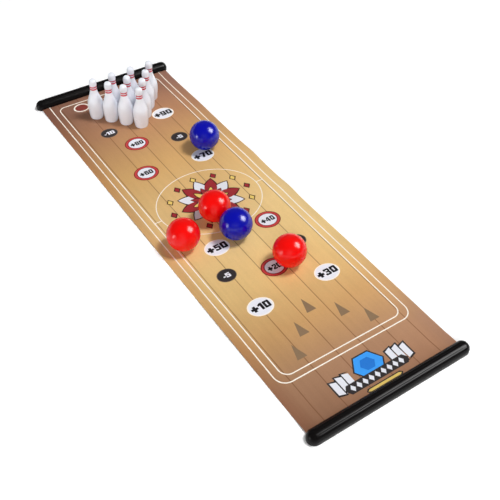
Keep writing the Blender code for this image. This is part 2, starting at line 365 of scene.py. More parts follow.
def turnedTree():   # spins a half outline, whose points are (radius, 0, height), round the Z axis
    tree, given, result = newTree("turnedShape", [
        ("Steps", "NodeSocketInt"), ("Material", "NodeSocketMaterial")])
    rows = addNode(tree, "GeometryNodeAttributeDomainSize", to={0: given["Geometry"]}).outputs["Point Count"]
    columns = math1(tree, "ADD", given["Steps"], 1)
    grid = addNode(tree, "GeometryNodeMeshGrid", to={"Vertices X": columns, "Vertices Y": rows})
    index = addNode(tree, "GeometryNodeInputIndex").outputs[0]
    row = math1(tree, "MODULO", index, rows)
    column = math1(tree, "FLOOR", math1(tree, "DIVIDE", math1(tree, "ADD", index, 0.1), rows))
    angle = math1(tree, "MULTIPLY", math1(tree, "DIVIDE", column, given["Steps"]), 2 * math.pi)
    spot = addNode(tree, "GeometryNodeInputPosition").outputs[0]
    outline = addNode(tree, "GeometryNodeSampleIndex", data_type="FLOAT_VECTOR", to={
        "Geometry": given["Geometry"], "Value": spot, "Index": row})
    parts = addNode(tree, "ShaderNodeSeparateXYZ", to={0: outline.outputs[0]}).outputs
    place = addNode(tree, "ShaderNodeCombineXYZ", to={
        0: math1(tree, "MULTIPLY", parts[0], math1(tree, "COSINE", angle)),
        1: math1(tree, "MULTIPLY", parts[0], math1(tree, "SINE", angle)), 2: parts[2]})
    spun = addNode(tree, "GeometryNodeSetPosition", to={
        "Geometry": grid.outputs["Mesh"], "Position": place.outputs[0]})
    merged = addNode(tree, "GeometryNodeMergeByDistance", to={0: spun.outputs[0], "Distance": mergeReach})
    real = addNode(tree, "GeometryNodeRealizeInstances", to={0: merged.outputs[0]})
    painted = addNode(tree, "GeometryNodeSetMaterial", to={
        "Geometry": real.outputs[0], "Material": given["Material"]})
    tree.links.new(painted.outputs[0], result.inputs[0])
    return tree


def stampTree():   # puts a copy of Stamp on each point, turned and sized by the point's own attributes
    tree, given, result = newTree("stampOnPoints", [
        ("Stamp", "NodeSocketObject"), ("Material", "NodeSocketMaterial")])
    stamp = addNode(tree, "GeometryNodeObjectInfo", to={"Object": given["Stamp"]})
    turn = addNode(tree, "GeometryNodeInputNamedAttribute", data_type="FLOAT", to={"Name": "turn"})
    size = addNode(tree, "GeometryNodeInputNamedAttribute", data_type="FLOAT", to={"Name": "size"})
    spin = addNode(tree, "ShaderNodeCombineXYZ", to={2: turn.outputs[0]})
    grow = addNode(tree, "ShaderNodeCombineXYZ", to={0: size.outputs[0], 1: size.outputs[0], 2: 1.0})
    copies = addNode(tree, "GeometryNodeInstanceOnPoints", to={
        "Points": given["Geometry"], "Instance": stamp.outputs["Geometry"],
        "Rotation": spin.outputs[0], "Scale": grow.outputs[0]})
    real = addNode(tree, "GeometryNodeRealizeInstances", to={0: copies.outputs[0]})
    painted = addNode(tree, "GeometryNodeSetMaterial", to={
        "Geometry": real.outputs[0], "Material": given["Material"]})
    tree.links.new(painted.outputs[0], result.inputs[0])
    return tree


def turnedMesh(name, outline, steps, material):
    profile = bpy.data.meshes.new(name)
    profile.from_pydata([(radius, 0, height) for radius, height in outline],
                        [(index, index + 1) for index in range(len(outline) - 1)], [])
    return tidyMesh(runTree(name, trees["turned"], profile, {"Steps": steps, "Material": material}))


def stamped(name, stamp, spots, material):   # spots are (x, y, turn in degrees, size)
    points = bpy.data.meshes.new(name)
    points.from_pydata([(x, y, 0) for x, y, turn, size in spots], [], [])
    turns = [math.radians(turn) for x, y, turn, size in spots]
    sizes = [size for x, y, turn, size in spots]
    for label, values in (("turn", turns), ("size", sizes)):
        points.attributes.new(label, "FLOAT", "POINT").data.foreach_set("value", values)
    holder = newPiece(name + "Stamp", stamp)
    mesh = runTree(name, trees["stamp"], points, {"Stamp": holder, "Material": material})
    bpy.data.objects.remove(holder)
    return tidyMesh(mesh)


# The mat and its print

lane = {
    "width": 280 * mm, "length": 900 * mm, "thickness": 1.0 * mm, "step": 5 * mm, "columns": 56,
    "barLift": 1.5 * mm, "climbStart": 407.6 * mm, "climbEnd": 437.6 * mm,
    # gentle waves of the free edges: side, middle along the lane, half length, height
    "waves": ((1, 104 * mm, 30 * mm, 2.0 * mm), (1, -14 * mm, 26 * mm, 2.2 * mm),
              (1, -190 * mm, 60 * mm, 0.7 * mm), (-1, 60 * mm, 70 * mm, 0.7 * mm),
              (-1, -230 * mm, 60 * mm, 0.9 * mm), (1, 300 * mm, 50 * mm, 0.8 * mm)),
    "waveStart": 98 * mm,
    "seams": (20.5 * mm, 67 * mm, 108 * mm),   # on both sides of the middle
    "seamWidth": 1.2 * mm, "seamCore": 0.25, "seamStrength": 0.62, "seamTone": (112, 68, 38),
    "grainStretch": (150.0, 7.0, 1.0), "grainStrength": 0.16,
    "plankLevel": 0.98, "plankSwing": 0.04, "plankShift": 3.7,   # how the planks differ from each other
    # share of the way from the near end, and the print's colour there
    "lengthTones": ((0.0, (161, 116, 88)), (0.09, (175, 132, 100)), (0.19, (207, 161, 106)),
                    (0.30, (228, 191, 127)), (0.38, (235, 200, 136)), (0.48, (234, 200, 138)),
                    (0.68, (218, 172, 110)), (0.84, (181, 131, 94)), (0.95, (152, 108, 88))),
    # painted shade: the mat's colour is darkened towards both side edges, where the edges wave
    "leftShadeTone": (0.86, 0.76, 0.74, 1), "rightShadeTone": (0.90, 0.92, 0.99, 1),
    "sideShadeFade": (0.106, 0.140),   # from the middle, where the painted shade along the side edges sets in and is full
    "tilt": 0.6, "endTilt": 4.5,   # how much lighter the print grows towards the right, more so at the ends
}


def laneLift(x, y):
    lift = lane["barLift"] * smoothStep(lane["climbStart"], lane["climbEnd"], abs(y))
    out = smoothStep(lane["waveStart"], lane["width"] / 2, abs(x))
    for side, middle, reach, height in lane["waves"]:
        if x * side > 0:
            lift += out * height * math.exp(-((y - middle) / reach) ** 2)
    return lift


def woodMaterial():
    material = newMaterial("printedWood", Specular_IOR_Level=0.22)
    tree = material.node_tree
    spot = addNode(tree, "ShaderNodeTexCoord").outputs["Object"]
    across, along, _ = addNode(tree, "ShaderNodeSeparateXYZ", to={0: spot}).outputs
    share = addNode(tree, "ShaderNodeMapRange", to={
        0: along, 1: -lane["length"] / 2, 2: lane["length"] / 2}).outputs[0]
    ramp = addNode(tree, "ShaderNodeValToRGB", to={0: share})
    stops = ramp.color_ramp.elements
    while len(stops) < len(lane["lengthTones"]):
        stops.new(0.5)
    for stop, (place, color) in zip(stops, lane["lengthTones"]):
        stop.position = place
        stop.color = tone(*color)
    away, number = 1.0, 0.0   # distance to the nearest seam, and which plank this is
    for place in [side * seam for seam in lane["seams"] for side in (-1, 1)]:
        away = math1(tree, "MINIMUM", away, math1(tree, "ABSOLUTE", math1(tree, "SUBTRACT", across, place)))
        number = math1(tree, "ADD", number, math1(tree, "GREATER_THAN", across, place))
    core, width = lane["seamWidth"] * lane["seamCore"], lane["seamWidth"]
    seam = band(tree, away, core, width, lane["seamStrength"], 0.0)
    shift = addNode(tree, "ShaderNodeCombineXYZ", to={
        0: number, 1: math1(tree, "MULTIPLY", number, lane["plankShift"])})
    stretch = addNode(tree, "ShaderNodeVectorMath", operation="MULTIPLY", to={
        0: spot, 1: lane["grainStretch"]})
    offset = addNode(tree, "ShaderNodeVectorMath", operation="ADD", to={
        0: stretch.outputs[0], 1: shift.outputs[0]})
    grain = addNode(tree, "ShaderNodeTexNoise", to={
        "Vector": offset.outputs[0], "Scale": 1.0, "Detail": 5.0, "Roughness": 0.6})
    chance = addNode(tree, "ShaderNodeTexWhiteNoise", noise_dimensions="1D", to={"W": number})
    swing = math1(tree, "SUBTRACT", grain.outputs[0], 0.5)
    plank = math1(tree, "MULTIPLY", chance.outputs["Value"], lane["plankSwing"])
    level = math1(tree, "ADD", math1(tree, "MULTIPLY", swing, lane["grainStrength"]),
                  math1(tree, "ADD", plank, lane["plankLevel"]))
    tilt = math1(tree, "MULTIPLY_ADD", math1(tree, "MULTIPLY", along, along), lane["endTilt"], lane["tilt"])
    level = math1(tree, "MULTIPLY_ADD", across, tilt, level)
    wood = addNode(tree, "ShaderNodeVectorMath", operation="SCALE", to={0: ramp.outputs[0], "Scale": level})
    near, full = lane["sideShadeFade"]
    # painted shade: the wood is darkened along both side edges
    wood = mixTone(tree, band(tree, across, -near, -full), wood.outputs[0], lane["leftShadeTone"], "MULTIPLY")
    wood = mixTone(tree, band(tree, across, near, full), wood, lane["rightShadeTone"], "MULTIPLY")
    wood = mixTone(tree, seam, wood, tone(*lane["seamTone"]))
    return finishWith(material, groups["film"], {"Color": wood, "Roughness": 0.44, "Speckle": 0.16}, 0.00003)


def makeMat():
    half = lane["width"] / 2
    columns = lane["columns"]
    xs = [round(-half + half * 2 * i / columns, 6) for i in range(columns + 1)]
    rows = int(lane["length"] / lane["step"]) + 1
    ys = [-lane["length"] / 2 + lane["step"] * row for row in range(rows)]
    shape = bmesh.new()
    grid = [[shape.verts.new((x, y, laneLift(x, y) + lane["thickness"])) for x in xs] for y in ys]
    for lower, upper in zip(grid, grid[1:]):
        for left in range(len(xs) - 1):
            shape.faces.new((lower[left], lower[left + 1], upper[left + 1], upper[left]))
    top = bpy.data.meshes.new("laneMat")
    shape.to_mesh(top)
    shape.free()
    holder = newPiece("laneMatHolder", top, materials["wood"], materials["matCore"])
    solid = holder.modifiers.new("thickness", "SOLIDIFY")
    solid.thickness = lane["thickness"]
    solid.offset = -1
    solid.material_offset = 1
    solid.material_offset_rim = 1
    mesh = bakedMesh("laneMat", holder)
    mesh.shade_smooth()
    mesh.set_sharp_from_angle(angle=math.radians(40))
    return newPiece("laneMat", mesh, materials["wood"], materials["matCore"])


inkStep = 0.035 * mm   # thickness of one layer of ink
climbStep = 5 * mm     # between the cuts that let the ink follow the mat up to a bar


def ontoLane(mesh):
    shape = bmesh.new()
    shape.from_mesh(mesh)
    reach = max(abs(vertex.co.y) for vertex in shape.verts)
    cut = lane["climbStart"]
    while cut < reach:
        for side in (-1, 1):
            bmesh.ops.bisect_plane(shape, geom=shape.verts[:] + shape.edges[:] + shape.faces[:],
                                   plane_co=(0, side * cut, 0), plane_no=(0, 1, 0))
        cut += climbStep
    for vertex in shape.verts:
        vertex.co.z += laneLift(vertex.co.x, vertex.co.y) + lane["thickness"]
    shape.to_mesh(mesh)
    shape.free()
    return mesh


def inkRibbon(points, width, layer, closed=False):   # a line of even width along points
    shape = bmesh.new()
    count = len(points)
    rings = []
    for index, (x, y) in enumerate(points):
        before = points[index - 1] if index or closed else points[0]
        after = points[(index + 1) % count] if index < count - 1 or closed else points[-1]
        run = Vector((after[0] - before[0], after[1] - before[1])).normalized() * (width / 2)
        low, high = inkStep * (layer - 1), inkStep * layer
        rings.append([shape.verts.new(corner) for corner in (
            (x + run.y, y - run.x, low), (x - run.y, y + run.x, low),
            (x - run.y, y + run.x, high), (x + run.y, y - run.x, high))])
    pairs = list(zip(rings, rings[1:])) + ([(rings[-1], rings[0])] if closed else [])
    for first, second in pairs:
        for side in range(4):
            shape.faces.new((first[side], first[(side + 1) % 4], second[(side + 1) % 4], second[side]))
    if not closed:
        shape.faces.new(rings[0])
        shape.faces.new(reversed(rings[-1]))
    mesh = bpy.data.meshes.new("inkRibbon")
    shape.to_mesh(mesh)
    shape.free()
    return tidyMesh(mesh)


def inkFill(outlines, layer):   # filled outlines, with an outline inside another one as its hole
    curve = bpy.data.curves.new("inkFill", "CURVE")
    curve.dimensions = "2D"
    curve.fill_mode = "BOTH"
    curve.extrude = inkStep / 2
    for outline in outlines:
        spline = curve.splines.new("POLY")
        spline.points.add(len(outline) - 1)
        for point, (x, y) in zip(spline.points, outline):
            point.co = (x, y, 0, 1)
        spline.use_cyclic_u = True
    holder = bpy.data.objects.new("inkFill", curve)
    scene.collection.objects.link(holder)
    return tidyMesh(movedMesh(bakedMesh("inkFill", holder), (0, 0, inkStep * (layer - 0.5))))


def oval(x, y, reachX, reachY, steps=48):
    return [(x + reachX * math.cos(2 * math.pi * i / steps), y + reachY * math.sin(2 * math.pi * i / steps))
            for i in range(steps)]


def evenly(points, step, closed=False):   # points along the same path, never further apart than step
    spread = []
    ends = points[1:] + (points[:1] if closed else [])
    for (x, y), (endX, endY) in zip(points, ends):
        count = max(1, math.ceil(math.hypot(endX - x, endY - y) / step))
        spread += [(x + (endX - x) * i / count, y + (endY - y) * i / count) for i in range(count)]
    return spread if closed else spread + [points[-1]]


def corner(x, y, radius, start, steps=8):
    return [(x + radius * math.cos(math.radians(start + 90 * i / steps)),
             y + radius * math.sin(math.radians(start + 90 * i / steps))) for i in range(steps + 1)]


border = {
    "middleX": -0.9 * mm, "innerX": 111 * mm, "nearY": -350.4 * mm, "farY": 426.6 * mm,
    "nearRadius": 15 * mm, "farRadius": 12 * mm,
    "outerX": 124 * mm, "outerNearY": -361.5 * mm, "outerRadius": 19 * mm, "outerFarY": 443 * mm,
    "width": 2.0 * mm, "step": 6 * mm, "layer": 1,
    "ring": (-0.8 * mm, 31 * mm, 97.3 * mm, 82 * mm), "ringWidth": 1.5 * mm, "crossY": 29 * mm,
    "farStroke": (-48 * mm, 26 * mm, 414 * mm),   # a short line behind the pins
}


def makeBorder():
    middle, inX, nearY, farY = border["middleX"], border["innerX"], border["nearY"], border["farY"]
    near, far, step, layer = border["nearRadius"], border["farRadius"], border["step"], border["layer"]
    left, right = middle - inX, middle + inX
    inner = (corner(right - far, farY - far, far, 0) + corner(left + far, farY - far, far, 90)
             + corner(left + near, nearY + near, near, 180) + corner(right - near, nearY + near, near, 270))
    outLeft, outRight = middle - border["outerX"], middle + border["outerX"]
    bend, lowY = border["outerRadius"], border["outerNearY"]
    outer = ([(outLeft, border["outerFarY"])] + corner(outLeft + bend, lowY + bend, bend, 180)
             + corner(outRight - bend, lowY + bend, bend, 270) + [(outRight, border["outerFarY"])])
    x, y, reachX, reachY = border["ring"]
    lines = [inkRibbon(evenly(inner, step, True), border["width"], layer, True),
             inkRibbon(evenly(outer, step), border["width"], layer),
             inkRibbon(oval(x, y, reachX, reachY, 120), border["ringWidth"], layer, True)]
    strokeStart, strokeEnd, strokeY = border["farStroke"]
    for start, end, height in ((left, x - reachX, border["crossY"]), (x + reachX, right, border["crossY"]),
                               (strokeStart, strokeEnd, strokeY)):
        lines.append(inkRibbon(evenly([(start, height), (end, height)], step), border["ringWidth"], layer))
    return newPiece("borderLines", ontoLane(joinMeshes("borderLines", lines)), materials["creamInk"])


# Outlines of the figures, one unit high
figures = {
    "0": ([(.08, 0), (.66, 0), (.74, .1), (.74, .9), (.66, 1), (.08, 1), (0, .9), (0, .1)],
          [(.28, .25), (.28, .75), (.46, .75), (.46, .25)]),
    "1": ([(.22, 0), (.52, 0), (.52, 1), (.28, 1), (0, .84), (0, .6), (.22, .68)],),
    "2": ([(0, 0), (.7, 0), (.7, .25), (.36, .25), (.7, .54), (.7, .91), (.62, 1), (.08, 1), (0, .91),
           (0, .68), (.26, .68), (.26, .76), (.44, .76), (.44, .63), (0, .27)],),
    "3": ([(.08, 0), (.62, 0), (.7, .09), (.7, .43), (.63, .51), (.7, .59), (.7, .91), (.62, 1), (.08, 1),
           (0, .91), (0, .7), (.26, .7), (.26, .77), (.44, .77), (.44, .62), (.18, .62), (.18, .4), (.44, .4),
           (.44, .23), (.26, .23), (.26, .3), (0, .3), (0, .09)],),
    "4": ([(.4, 0), (.66, 0), (.66, .2), (.76, .2), (.76, .42), (.66, .42), (.66, 1), (.34, 1), (0, .42),
           (0, .2), (.4, .2)], [(.4, .42), (.22, .42), (.4, .74)]),
    "5": ([(.08, 0), (.62, 0), (.7, .09), (.7, .57), (.62, .66), (.27, .66), (.27, .77), (.68, .77), (.68, 1),
           (0, 1), (0, .44), (.44, .44), (.44, .23), (.26, .23), (.26, .3), (0, .3), (0, .09)],),
    "6": ([(.08, 0), (.64, 0), (.72, .09), (.72, .56), (.64, .65), (.27, .65), (.27, .77), (.46, .77),
           (.46, .71), (.72, .71), (.72, .91), (.64, 1), (.08, 1), (0, .91), (0, .09)],
          [(.27, .22), (.27, .44), (.45, .44), (.45, .22)]),
    "7": ([(.12, 0), (.42, 0), (.7, .72), (.7, 1), (0, 1), (0, .76), (.4, .76)],),
    "8": ([(.08, 0), (.66, 0), (.74, .09), (.74, .44), (.68, .51), (.74, .58), (.74, .91), (.66, 1), (.08, 1),
           (0, .91), (0, .58), (.06, .51), (0, .44), (0, .09)],
          [(.28, .22), (.28, .4), (.46, .4), (.46, .22)], [(.28, .61), (.28, .78), (.46, .78), (.46, .61)]),
    "+": ([(.24, .05), (.57, .05), (.57, .31), (.81, .31), (.81, .63), (.57, .63), (.57, .89), (.24, .89),
           (.24, .63), (0, .63), (0, .31), (.24, .31)],),
    "-": ([(0, .22), (.32, .22), (.32, .46), (0, .46)],),
}
figures["9"] = tuple([(.72 - x, 1 - y) for x, y in outline] for outline in figures["6"])
figureGap = 0.09


def figureRow(label, x, y, height, stretch):   # outlines of a number, centred on (x, y)
    widths = [max(px for px, py in figures[sign][0]) for sign in label]
    left = -(sum(widths) + figureGap * (len(label) - 1)) / 2
    outlines = []
    for sign, width in zip(label, widths):
        outlines += [[(x + (left + px) * height * stretch, y + (py - 0.5) * height) for px, py in outline]
                     for outline in figures[sign]]
        left += width + figureGap
    return outlines


scoreSpots = {
    "white": {"reach": (22.6 * mm, 18.0 * mm), "figure": (14.2 * mm, 1.07), "spots": (
        ("+10", -65.2, -222.3), ("+30", 66.5, -219.3), ("+50", -53.0, -76.8), ("+70", 55.9, 147.7),
        ("+90", 58.5, 305.2))},
    "ringed": {"reach": (23.6 * mm, 20.2 * mm), "figure": (11.0 * mm, 0.95), "spots": (
        ("+20", 1.8, -164.1), ("+40", 56.8, -65.4), ("+60", -58.7, 157.0), ("+80", -31.8, 244.8))},
    "dark": {"reach": (17.0 * mm, 14.2 * mm), "figure": (9.8 * mm, 1.22), "spots": (
        ("-5", -73.6, -138.5), ("-5", 68.3, -134.5), ("-5", 47.4, 220.8), ("-10", -61.3, 302.6))},
    "plain": {"reach": (16.4 * mm, 13.2 * mm), "figure": (0, 1), "spots": (("", -70.0, 408.5),)},
}
# share of the spot's reach, layer and ink of each disc, from the outside in
spotDiscs = {
    "white": ((1.0, 1, "creamInk"), (0.90, 2, "coolInk")),
    "ringed": ((1.0, 1, "maroonInk"), (0.93, 2, "redInk"), (0.82, 3, "roseInk"), (0.755, 4, "maroonInk"),
               (0.70, 5, "coolInk")),
    "dark": ((1.0, 1, "greyInk"), (0.93, 2, "charcoalInk")),
    "plain": ((1.0, 2, "creamInk"), (0.80, 3, "rustInk")),
}


def makeSpots():
    pieces = []
    for kind, spot in scoreSpots.items():
        places = [(x * mm, y * mm, 0, 1) for label, x, y in spot["spots"]]
        reachX, reachY = spot["reach"]
        for share, layer, color in spotDiscs[kind]:
            stamp = inkFill([oval(0, 0, reachX * share, reachY * share, 64)], layer)
            name = f"{kind}Spots_{layer}"
            mesh = ontoLane(stamped(name, stamp, places, materials[color]))
            pieces.append(newPiece(name, mesh, materials[color]))
        outlines = [line for label, x, y in spot["spots"] if label
                    for line in figureRow(label, x * mm, y * mm, *spot["figure"])]
        if outlines:
            color = "coolInk" if kind == "dark" else "blackInk"
            mesh = inkFill(outlines, len(spotDiscs[kind]) + 1)
            pieces.append(newPiece(f"{kind}Figures", ontoLane(mesh), materials[color]))
    return pieces


arrows = {
    "width": 17.7 * mm, "length": 28.8 * mm, "layer": 1,
    "spots": ((-3.6, -257.1), (-40.4, -288.8), (36.2, -290.6), (-69.4, -322.1), (67.2, -323.3)),
}


def makeArrows():
    half, tall = arrows["width"] / 2, arrows["length"]
    stamp = inkFill([[(-half, -tall / 2), (half, -tall / 2), (0, tall / 2)]], arrows["layer"])
    places = [(x * mm, y * mm, 0, 1) for x, y in arrows["spots"]]
    mesh = ontoLane(stamped("laneArrows", stamp, places, materials["taupeInk"]))
    return newPiece("laneArrows", mesh, materials["taupeInk"])


# Plain ornaments: a rosette in the lane's middle and a crest at its near end

def leaf(length, width, steps=10):
    side = [(width / 2 * math.sin(math.pi * i / steps) ** 0.9, length * i / steps) for i in range(steps + 1)]
    return side + [(-x, y) for x, y in side[-2:0:-1]]


def lozenge(x, y, reachX, reachY):
    return [(x + reachX, y), (x, y + reachY), (x - reachX, y), (x, y - reachY)]


rosette = {
    "middle": (2 * mm, 30 * mm), "count": 12, "start": 8 * mm, "rim": 2.5 * mm,
    "petal": (50 * mm, 23 * mm), "bud": (27 * mm, 9 * mm), "heart": 15 * mm, "core": 8.5 * mm,
    "studs": 12, "studReach": (75 * mm, 64 * mm), "stud": (4.6 * mm, 6.2 * mm),
}


def makeRosette():
    x, y = rosette["middle"]
    count, rim, start = rosette["count"], rosette["rim"], rosette["start"]
    turns = [360 / count * i for i in range(count)]
    pieces = []

    def add(name, mesh, color):
        pieces.append(newPiece(name, ontoLane(mesh), materials[color]))

    def petals(name, size, grow, layer, color, chosen):
        length, width = size
        outline = [(px, py + start - grow) for px, py in leaf(length + 2 * grow, width + 2 * grow)]
        stamp = inkFill([outline], layer)
        add(name, stamped(name, stamp, [(x, y, turn, 1) for turn in chosen], materials[color]), color)
    petals("rosetteRims", rosette["petal"], rim, 1, "brownInk", turns)
    petals("rosetteWhitePetals", rosette["petal"], 0, 2, "coolInk", turns[::2])
    petals("rosetteRedPetals", rosette["petal"], 0, 3, "crimsonInk", turns[1::2])
    petals("rosetteBudRims", rosette["bud"], rim * 0.8, 4, "brownInk", turns)
    petals("rosetteRedBuds", rosette["bud"], 0, 5, "crimsonInk", turns[::2])
    petals("rosetteYellowBuds", rosette["bud"], 0, 5, "yellowInk", turns[1::2])
    heart, core = rosette["heart"], rosette["core"]
    add("rosetteHeartRim", inkFill([oval(x, y, heart + rim, heart + rim)], 6), "brownInk")
    add("rosetteHeart", inkFill([oval(x, y, heart, heart)], 7), "yellowInk")
    add("rosetteCore", inkFill([oval(x, y, core, core)], 8), "crimsonInk")
    studX, studY = rosette["studReach"]
    wide, tall = rosette["stud"]
    spots = oval(x, y, studX, studY, rosette["studs"])
    add("rosetteStudRims", inkFill([lozenge(a, b, wide + rim, tall + rim) for a, b in spots], 1), "brownInk")
    add("rosetteStuds", inkFill([lozenge(a, b, wide, tall) for a, b in spots[::2]], 2), "crimsonInk")
    add("rosettePaleStuds", inkFill([lozenge(a, b, wide, tall) for a, b in spots[1::2]], 2), "yellowInk")
    return pieces


crest = {
    "middle": (3.5 * mm, -398 * mm), "reach": (26 * mm, 23 * mm), "rim": 2.6 * mm,
    "blades": ((40 * mm, 34 * mm), (52 * mm, 34 * mm), (64 * mm, 27 * mm)),   # place and height
    "bladeWidth": 10 * mm, "slant": 7 * mm, "bladeDrop": 9 * mm,
    # half length, half thickness, place and point of the dark bar and of the yellow one
    "plate": (52 * mm, 8.5 * mm, -20 * mm, 6 * mm), "strip": (27 * mm, 2.1 * mm, -36.5 * mm, 4 * mm),
    "plateMarks": 9, "markPitch": 11.2 * mm, "mark": (4.3 * mm, 6.2 * mm),
}


def makeCrest():
    x, y = crest["middle"]
    reachX, reachY = crest["reach"]
    rim, slant = crest["rim"], crest["slant"]
    pieces = []

    def add(name, outlines, layer, color):
        pieces.append(newPiece(name, ontoLane(inkFill(outlines, layer)), materials[color]))

    def blade(centre, height, width, side):
        near, far = x + side * (centre - width / 2), x + side * (centre + width / 2)
        low, high = y - crest["bladeDrop"] - height / 2, y - crest["bladeDrop"] + height / 2
        return [(near, low), (far, low + slant / 2), (far, high), (near, high - slant / 2)]

    def blades(grow):
        return [blade(centre, height + grow, crest["bladeWidth"] + grow, side)
                for centre, height in crest["blades"] for side in (-1, 1)]

    def plate(half, thick, drop, point):   # a bar with pointed ends
        return [(x - half - point, y + drop), (x - half, y + drop - thick), (x + half, y + drop - thick),
                (x + half + point, y + drop), (x + half, y + drop + thick), (x - half, y + drop + thick)]
    add("crestRims", blades(2 * rim), 1, "charcoalInk")
    add("crestBlades", blades(0), 2, "coolInk")
    add("crestShieldRim", [oval(x, y, reachX + rim, reachY + rim, 6)], 3, "charcoalInk")
    add("crestShield", [oval(x, y, reachX, reachY, 6)], 4, "skyInk")
    add("crestShieldCore", [oval(x, y + rim, reachX * 0.5, reachY * 0.5, 6)], 5, "blueInk")
    add("crestPlate", [plate(*crest["plate"])], 6, "charcoalInk")
    half, thick, drop, point = crest["plate"]
    wide, tall = crest["mark"]
    marks = [x + crest["markPitch"] * (i - (crest["plateMarks"] - 1) / 2) for i in range(crest["plateMarks"])]
    add("crestMarks", [lozenge(place, y + drop, wide, tall) for place in marks], 7, "coolInk")
    half, thick, drop, point = crest["strip"]
    add("crestStripRim", [plate(half + rim, thick + rim * 0.7, drop, point)], 1, "charcoalInk")
    add("crestStrip", [plate(half, thick, drop, point)], 2, "yellowInk")
    return pieces


# Bars

bars = {
    "wall": 1.6 * mm, "rim": 0.35 * mm, "endSteps": 14, "arcSteps": 60, "runSteps": 24,
    "grooves": (58, 90, 122), "grooveReach": 3.2,   # degrees
    "grooveDepth": 0.28 * mm, "grooveStop": 6 * mm,
    "tongueHalf": 140 * mm, "tongueInset": 0.2 * mm, "tongueWall": 1.2 * mm, "tongueLow": 2.8 * mm,
    "tongueHigh": 5.0 * mm,
}


# half of the straight stretch, radius and height of the upright sides
def coverMesh(name, half, radius, side):
    steps = bars["arcSteps"]
    ends = [(half + radius * math.sin(math.pi / 2 * i / bars["endSteps"]),
             radius * math.cos(math.pi / 2 * i / bars["endSteps"])) for i in range(bars["endSteps"] + 1)]
    inner = half - bars["grooveStop"]
    run = bars["runSteps"]
    stations = [(-x, reach) for x, reach in reversed(ends)]
    stations += [(-inner + 2 * inner * i / run, radius) for i in range(run + 1)] + ends
    shape = bmesh.new()
    rows = []
    for x, reach in stations:
        row = []
        for i in range(steps + 1):
            angle = 180 * i / steps
            dent = sum(math.exp(-((angle - groove) / bars["grooveReach"]) ** 2) for groove in bars["grooves"])
            dent *= bars["grooveDepth"] * smoothStep(half, inner, abs(x)) if abs(x) < half else 0
            turn = math.radians(angle)
            away = Vector((0, math.cos(turn), math.sin(turn))) * max(reach - dent, 0)
            row.append(shape.verts.new(Vector((x, 0, side)) + away))
        rows.append(row)
    for first, second in zip(rows, rows[1:]):
        for i in range(steps):
            shape.faces.new((first[i], second[i], second[i + 1], first[i + 1]))
    bmesh.ops.remove_doubles(shape, verts=shape.verts, dist=mergeReach)
    bmesh.ops.recalc_face_normals(shape, faces=shape.faces)
    if sum(face.normal.z * face.calc_area() for face in shape.faces) < 0:
        bmesh.ops.reverse_faces(shape, faces=shape.faces)
    mesh = bpy.data.meshes.new(name)
    shape.to_mesh(mesh)
    shape.free()
    holder = newPiece(name + "Holder", mesh)
    solid = holder.modifiers.new("wall", "SOLIDIFY")
    solid.thickness = bars["wall"]
    solid.offset = -1
    solid.use_even_offset = True
    soft = holder.modifiers.new("rim", "BEVEL")
    soft.width = bars["rim"]
    soft.segments = 2
    soft.limit_method = "ANGLE"
    soft.angle_limit = math.radians(50)
    return bakedMesh(name, holder)


def boxMesh(name, low, high):
    shape = bmesh.new()
    bmesh.ops.create_cube(shape, size=1.0)
    for vertex in shape.verts:
        vertex.co = [(low[i] + high[i]) / 2 + vertex.co[i] * (high[i] - low[i]) for i in range(3)]
    mesh = bpy.data.meshes.new(name)
    shape.to_mesh(mesh)
    shape.free()
    return mesh


def makeBars():
    for bar, name, side in (("far_bar", "farBarCover", 1), ("near_bar", "nearBarCover", -1)):
        low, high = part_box(f"{bar}_upper_shell")
        radius = (high.y - low.y) / 2
        middle = (low.y + high.y) / 2
        face = -radius + bars["tongueInset"]
        tongue = boxMesh("tongue", (-bars["tongueHalf"], face, bars["tongueLow"]),
                         (bars["tongueHalf"], face + bars["tongueWall"], bars["tongueHigh"]))
        shell = coverMesh(name, (high.x - low.x) / 2 - radius, radius, high.z - radius)
        whole = joinMeshes(name, [shell, tongue])
        for vertex in whole.vertices:
            vertex.co = (vertex.co.x * side, middle + vertex.co.y * side, vertex.co.z)
        cover = newPiece(name, tidyMesh(whole, 40), materials["barBlack"])
        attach(cover, "lane")
        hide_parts(f"{bar}_upper_shell")


# Pins

pin = {
    "wall": 1.8 * mm, "steps": 64, "rows": 72,
    # from the foot up: shares of the height and of the belly's radius, with a round crown above the last
    "outline": ((0.0, 0.82), (0.02, 0.86), (0.14, 0.93), (0.25, 0.98), (0.35, 1.0), (0.44, 0.94),
                (0.53, 0.765), (0.62, 0.585), (0.71, 0.465), (0.79, 0.43), (0.87, 0.485), (0.94, 0.45)),
    "crownStep": 9,   # degrees
    "socketHeight": 6.3 * mm, "hollow": (0.30, 0.44, 0.58, 0.68), "hollowTop": 0.72,
    "rings": ((0.742, 0.776), (0.797, 0.831)), "ringSteps": 4, "ringProud": 0.08 * mm,
    "ringClear": 0.004,   # share of the height round a ring's own rows where no other row lies
}


def pinShare(share):   # radius at a share of the height, on a smooth curve through the outline's points
    points = pin["outline"]
    for index in range(len(points) - 1):
        (low, first), (high, second) = points[index], points[index + 1]
        if low <= share <= high:
            before = points[max(index - 1, 0)]
            after = points[min(index + 2, len(points) - 1)]
            slopeIn = (second - before[1]) / (high - before[0])
            slopeOut = (after[1] - first) / (after[0] - low)
            t, span = (share - low) / (high - low), high - low
            return (first * (1 + 2 * t) * (1 - t) ** 2 + second * t * t * (3 - 2 * t)
                    + slopeIn * span * t * (1 - t) ** 2 - slopeOut * span * t * t * (1 - t))
    return 0.0


